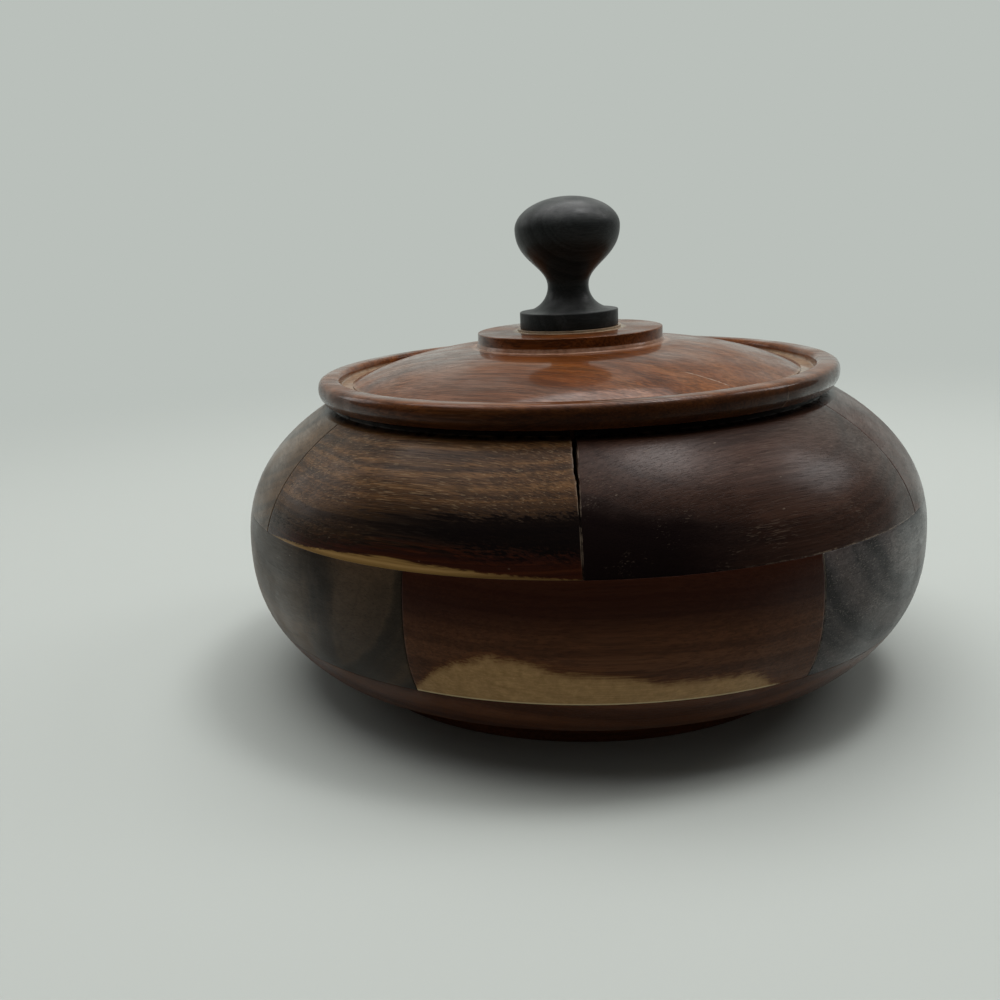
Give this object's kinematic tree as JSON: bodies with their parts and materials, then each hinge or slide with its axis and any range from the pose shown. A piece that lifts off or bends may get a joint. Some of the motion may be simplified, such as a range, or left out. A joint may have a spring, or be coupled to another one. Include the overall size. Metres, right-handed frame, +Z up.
{
  "type": "lidded wooden bowl",
  "caption": "Squat round wooden bowl turned from brick-laid dark hardwood blocks, with a rimmed lift-off lid and a black turned knob.",
  "frame": {"origin": "centre of the foot's underside, on the surface that the bowl stands on", "axes": "+Z up along the turning axis through the knob; -Y is the front, the side with the open joint in the upper ring; +X is to the right seen from the front"},
  "size_m": [0.156, 0.156, 0.1093],
  "materials": {
    "base_wood": "waxed satin, dark red brown",
    "red_wood": "waxed satin, dark red brown",
    "dark_wood": "waxed satin, nearly black brown",
    "brown_wood": "waxed satin, mid brown with pale pores",
    "lid_wood": "waxed, glossy red brown",
    "knob_wood": "waxed satin, nearly black"
  },
  "bodies": {
    "bowl": {"base_board": "base_wood", "lower_block_1": "red_wood", "lower_block_2": "dark_wood", "lower_block_3": "red_wood", "lower_block_4": "dark_wood", "lower_block_5": "brown_wood", "lower_block_6": "dark_wood", "upper_block_1": "red_wood", "upper_block_2": "red_wood", "upper_block_3": "brown_wood", "upper_block_4": "red_wood", "upper_block_5": "brown_wood", "upper_block_6": "brown_wood"},
    "lid": {"lid_front_board": "lid_wood", "lid_back_board": "lid_wood", "knob": "knob_wood"}
  },
  "joints": [
    {"name": "lid_lift", "type": "slide", "parent": "bowl", "child": "lid", "axis": [0, 0, 1], "range_m": [0, 0.06]}
  ]
}
